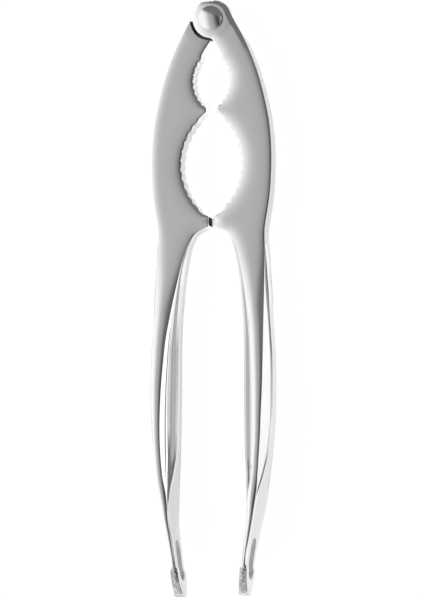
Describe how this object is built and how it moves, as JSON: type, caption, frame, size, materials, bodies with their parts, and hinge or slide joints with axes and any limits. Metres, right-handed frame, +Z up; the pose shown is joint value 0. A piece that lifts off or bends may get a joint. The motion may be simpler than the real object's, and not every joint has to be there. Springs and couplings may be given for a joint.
{
  "type": "nutcracker",
  "caption": "Hand nutcracker of plated cast metal: levers on a rivet, toothed hollows for small and large nuts, bowed ribbed handles with hanging slots.",
  "frame": {"origin": "middle of the length and width, on the plane that the backs of the handles touch", "axes": "+X to the right-hand lever, +Y along the tool to the pivot, +Z up out of the face with the domed rivet head"},
  "size_m": [0.038, 0.18, 0.0158],
  "materials": {
    "chrome_casting": "bright chrome plate over a polished casting, slightly uneven",
    "rivet_steel": "polished and plated rivet"
  },
  "bodies": {
    "left_lever": {"left_arm": "chrome_casting", "pivot_rivet": "rivet_steel", "rivet_rear_head": "rivet_steel"},
    "right_lever": {"right_arm": "chrome_casting"}
  },
  "joints": [
    {"name": "pivot", "type": "hinge", "parent": "left_lever", "child": "right_lever", "pos_m": [0, 0.084, 0.0079], "axis": [0, 0, 1], "range_deg": [-1, 120]}
  ]
}
